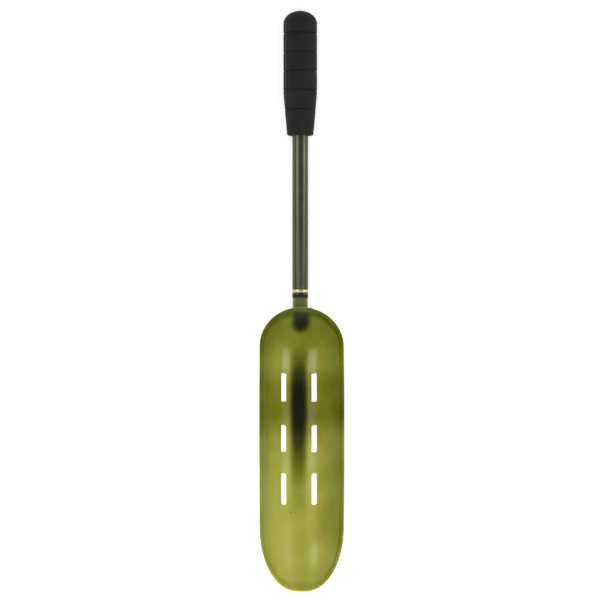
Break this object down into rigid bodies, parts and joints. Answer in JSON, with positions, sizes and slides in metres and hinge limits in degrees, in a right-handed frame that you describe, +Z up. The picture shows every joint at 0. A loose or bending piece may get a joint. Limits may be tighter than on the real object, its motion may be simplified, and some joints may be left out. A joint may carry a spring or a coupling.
{
  "type": "long-handled slotted scoop",
  "caption": "Long narrow translucent plastic scoop with drain slots, screwed to an aluminium tube handle with a foam grip.",
  "frame": {"origin": "middle of the object's box at its base: the surface that the keel and the grip rest on", "axes": "+Y along the handle towards the grip, +Z up out of the hollow side of the bowl, +X to the right seen from above with the grip away"},
  "size_m": [0.0848, 0.58, 0.0336],
  "materials": {
    "eva_foam": "matt closed-cell foam with fine pores",
    "olive_anodised_tube": "satin olive anodising",
    "black_plastic": "moulded, matt",
    "gold_anodised_ring": "polished gold anodising",
    "black_anodised_insert": "satin black anodising",
    "black_rubber": "matt rubber",
    "stud_steel": "turned, bright",
    "olive_translucent_plastic": "glossy translucent moulding"
  },
  "bodies": {
    "handle": {"foam_grip": "eva_foam", "handle_tube": "olive_anodised_tube", "butt_plug": "black_plastic", "trim_ring": "gold_anodised_ring", "thread_insert": "black_anodised_insert"},
    "seal": {"sealing_washer": "black_rubber"},
    "scoop": {"scoop": "olive_translucent_plastic", "threaded_stud": "stud_steel"}
  },
  "joints": [
    {"name": "scoop_travel", "type": "slide", "parent": "handle", "child": "seal", "axis": [0, -1, 0], "range_m": [0, 0.01271]},
    {"name": "scoop_screw", "type": "hinge", "parent": "seal", "child": "scoop", "pos_m": [0, 0.003, 0.01675], "axis": [0, -1, 0], "range_deg": [0, 3600]}
  ],
  "couplings": [
    {"joint": "scoop_travel", "follows": "scoop_screw", "m_per_rad": 0.00020213}
  ]
}
